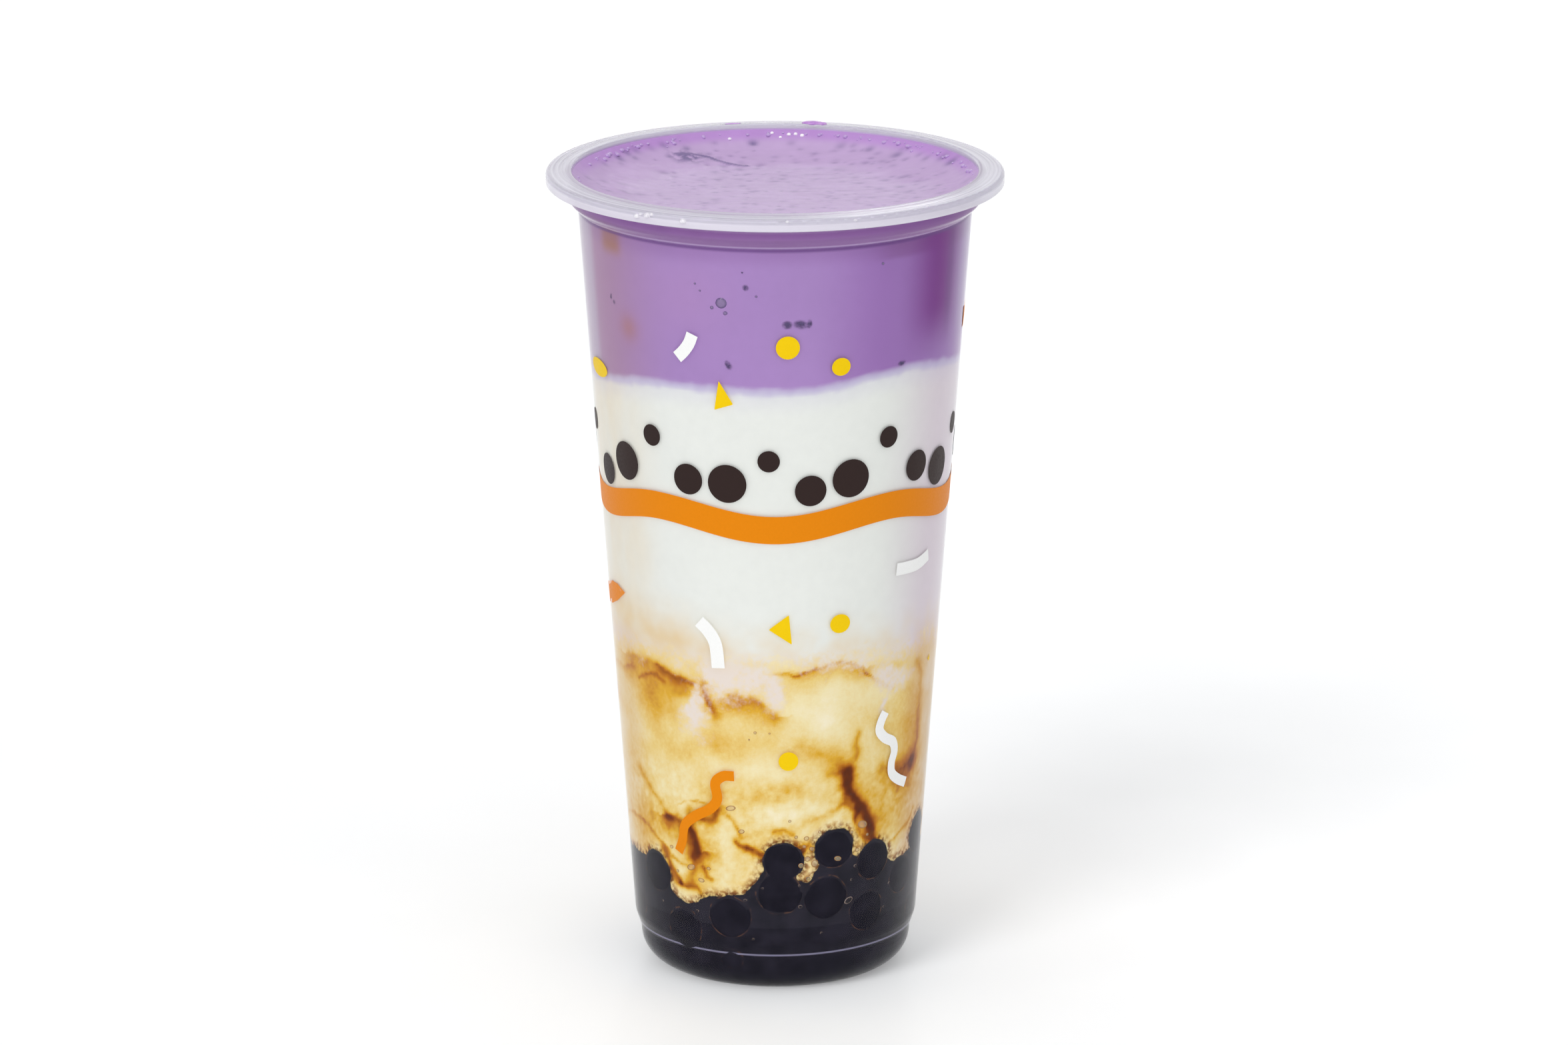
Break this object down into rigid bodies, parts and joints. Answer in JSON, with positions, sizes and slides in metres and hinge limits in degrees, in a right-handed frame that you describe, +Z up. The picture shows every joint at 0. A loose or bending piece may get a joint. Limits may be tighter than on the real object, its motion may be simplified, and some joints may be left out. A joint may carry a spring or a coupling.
{
  "type": "ube bubble milk tea",
  "caption": "Tall clear tapered takeaway cup, open and filled: ube milk over white milk over brown-sugar marbled milk, with tapioca pearls at the bottom.",
  "frame": {"origin": "centre of the plane that the cup stands on, on the cup's axis", "axes": "+Z up along the cup's axis, -Y towards the front of the picture, +X to the right of it"},
  "size_m": [0.095, 0.095, 0.1709],
  "materials": {
    "clear_plastic": "clear polypropylene, slightly hazy at the thick rim",
    "ube_milk": "opaque purple milk, foamy at the wall",
    "white_milk": "opaque white milk",
    "brown_sugar_milk": "milk marbled with golden brown sugar syrup",
    "pearl_bed": "glossy black tapioca pearls in dark syrup"
  },
  "bodies": {
    "root": {"cup": "clear_plastic", "ube_milk": "ube_milk", "white_milk": "white_milk", "brown_sugar_milk": "brown_sugar_milk", "pearl_bed": "pearl_bed"}
  },
  "joints": []
}
